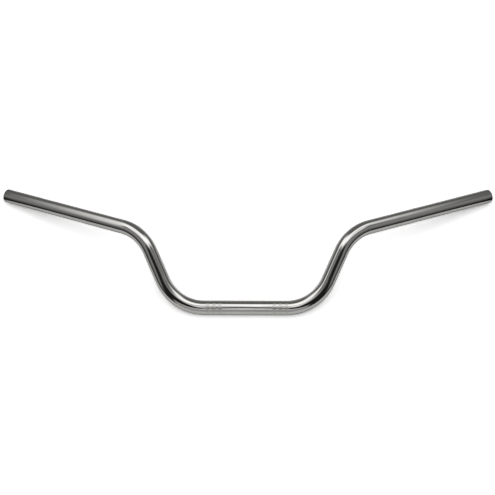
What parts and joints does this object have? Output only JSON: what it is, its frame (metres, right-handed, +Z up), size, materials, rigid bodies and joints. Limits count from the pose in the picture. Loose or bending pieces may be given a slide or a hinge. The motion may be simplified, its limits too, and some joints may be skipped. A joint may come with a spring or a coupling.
{
  "type": "motorcycle handlebar",
  "caption": "One-piece motorcycle handlebar: a chrome-plated steel tube bent into a raised, swept-back shape, with tapped bushes inside the grip ends.",
  "frame": {"origin": "middle of the clamp section, on the tube's axis; the bar lies as on a table, which is 11.1 mm below the origin", "axes": "+X along the clamp section to the rider's left, +Y from the clamp section towards the grip ends, +Z up from the table"},
  "size_m": [0.7996, 0.2282, 0.0653],
  "materials": {
    "chrome_tube": "bright chrome plating, polished",
    "bare_steel": "turned, unplated"
  },
  "bodies": {
    "root": {"handlebar_tube": "chrome_tube", "left_bar_end_bush": "bare_steel", "right_bar_end_bush": "bare_steel"}
  },
  "joints": []
}
